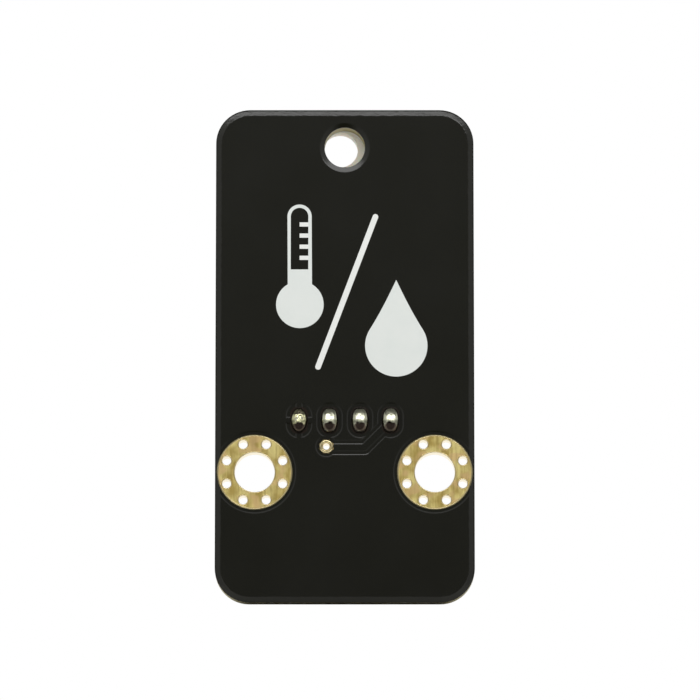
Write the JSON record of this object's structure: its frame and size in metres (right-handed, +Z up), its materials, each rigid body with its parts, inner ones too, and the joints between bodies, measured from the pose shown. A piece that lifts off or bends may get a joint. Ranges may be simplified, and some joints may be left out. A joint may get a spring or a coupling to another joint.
{
  "type": "temperature humidity sensor module",
  "caption": "Small black circuit board with two gilded mounting rings, a slotted white temperature and humidity sensor and a side-entry plug connector.",
  "frame": {"origin": "on the solder side, midway between the two mounting rings", "axes": "+X to the right and +Z up as the solder side is looked at, +Y through the board towards the sensor and the connector"},
  "size_m": [0.0216, 0.0101, 0.0416],
  "materials": {
    "laminate": "sawn glass-fibre laminate, olive",
    "copper_foil": "etched copper foil",
    "black_lacquer": "satin black solder lacquer",
    "gilding": "thin gold plating over nickel",
    "tinned_lead": "tin plated lead",
    "solder": "bright solder",
    "white_case": "fine matt moulded plastic, warm white",
    "inner_laminate": "green lacquered laminate",
    "element_ceramic": "fired ceramic plate",
    "bead_epoxy": "dipped epoxy bead",
    "chip_epoxy": "moulded black epoxy",
    "tinned_contact": "tin plated contact",
    "connector_nylon": "natural moulded nylon",
    "resistor_glaze": "black glazed top on white ceramic",
    "capacitor_ceramic": "tan fired ceramic",
    "tinned_cap": "tin plated end cap"
  },
  "bodies": {
    "root": {"circuit_board": "laminate", "solder_side_copper": "copper_foil", "component_side_copper": "copper_foil", "solder_side_mask": "black_lacquer", "component_side_mask": "black_lacquer", "left_ring_plating": "gilding", "right_ring_plating": "gilding", "power_via_plating": "gilding", "lead_hole_plating": "gilding", "ground_lead": "tinned_lead", "spare_lead": "tinned_lead", "data_lead": "tinned_lead", "supply_lead": "tinned_lead", "sensor_solder_joints": "solder", "sensor_back_case": "white_case", "sensor_front_cover": "white_case", "sensor_inner_board": "inner_laminate", "humidity_element": "element_ceramic", "humidity_element_pins": "tinned_lead", "humidity_electrodes": "gilding", "thermistor_wires": "tinned_lead", "thermistor_bead": "bead_epoxy", "sensor_controller_chip": "chip_epoxy", "sensor_chip_legs": "tinned_lead", "connector_contacts": "tinned_contact", "connector_anchor_tabs": "tinned_contact", "connector_housing": "connector_nylon", "connector_solder_fillets": "solder", "pull_up_resistor": "resistor_glaze", "resistor_end_caps": "tinned_cap", "bypass_capacitor": "capacitor_ceramic", "capacitor_end_caps": "tinned_cap", "small_part_solder_fillets": "solder"}
  },
  "joints": []
}
